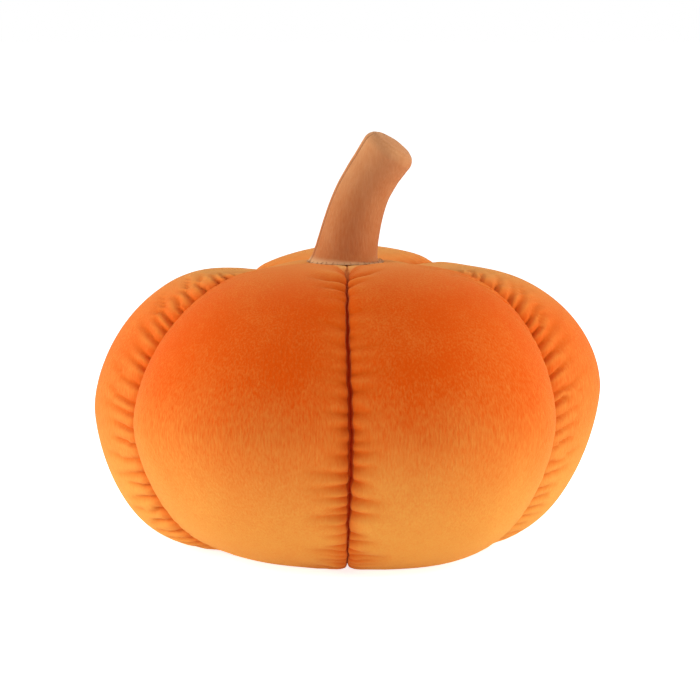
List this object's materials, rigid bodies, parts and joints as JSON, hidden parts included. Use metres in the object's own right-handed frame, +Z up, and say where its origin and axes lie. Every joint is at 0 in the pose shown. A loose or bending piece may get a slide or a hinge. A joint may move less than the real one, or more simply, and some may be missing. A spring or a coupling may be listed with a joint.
{
  "type": "pumpkin cushion",
  "caption": "Filled velvet cushion shaped as a pumpkin: round gathered lobes drawn in along sewn seams, under a leaning stuffed stem.",
  "frame": {"origin": "on the surface that the cushion rests on, below the middle of its box", "axes": "+Z up; -Y out of the front, where a seam runs down between two lobes; +X to the right as seen from the front, the way the stem leans"},
  "size_m": [0.348, 0.3446, 0.2861],
  "materials": {
    "orange_velvet": "short orange velvet pile",
    "brown_velvet": "short light brown velvet pile"
  },
  "bodies": {
    "root": {"cushion_body": "orange_velvet", "stem": "brown_velvet"}
  },
  "joints": []
}
